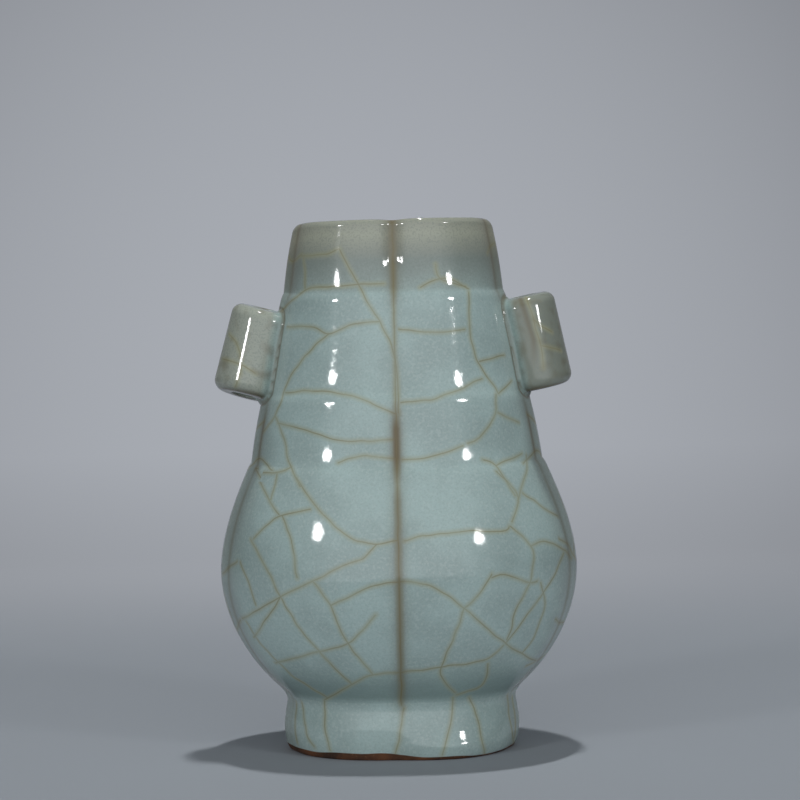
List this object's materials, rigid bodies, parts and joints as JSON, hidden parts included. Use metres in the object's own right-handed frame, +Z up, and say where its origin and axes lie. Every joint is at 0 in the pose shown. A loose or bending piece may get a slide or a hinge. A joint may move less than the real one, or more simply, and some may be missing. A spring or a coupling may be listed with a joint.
{
  "type": "arrow vase",
  "caption": "Lobed oval stoneware vase in crackled pale blue-green glaze, with a stepped neck, an open tube ear at each side and a low foot ring; holds flowers and stems.",
  "frame": {"origin": "middle of the foot, on the surface that the vase stands on", "axes": "+Z up, the ears along +X and -X, the broad front towards -Y"},
  "size_m": [0.1565, 0.1242, 0.23],
  "materials": {
    "celadon_glaze": "glossy pale blue-green glaze with ochre crackle",
    "mouth_glaze": "glossy glaze, thinner and greyer towards the rim",
    "ear_glaze": "glossy thin glaze, grey-olive over the clay",
    "bare_clay": "matt unglazed iron-brown stoneware",
    "fired_slip": "matt fired slip inside the seams"
  },
  "bodies": {
    "root": {"foot_ring": "celadon_glaze", "floor_slab": "bare_clay", "lower_belly": "celadon_glaze", "upper_belly": "celadon_glaze", "shoulder_section": "celadon_glaze", "neck_section": "celadon_glaze", "mouth_collar": "mouth_glaze", "left_ear_tube": "ear_glaze", "right_ear_tube": "ear_glaze", "foot_lute": "fired_slip", "belly_lute": "fired_slip", "shoulder_lute": "fired_slip", "neck_lute": "fired_slip", "mouth_lute": "fired_slip", "left_ear_lute": "fired_slip", "right_ear_lute": "fired_slip"}
  },
  "joints": []
}
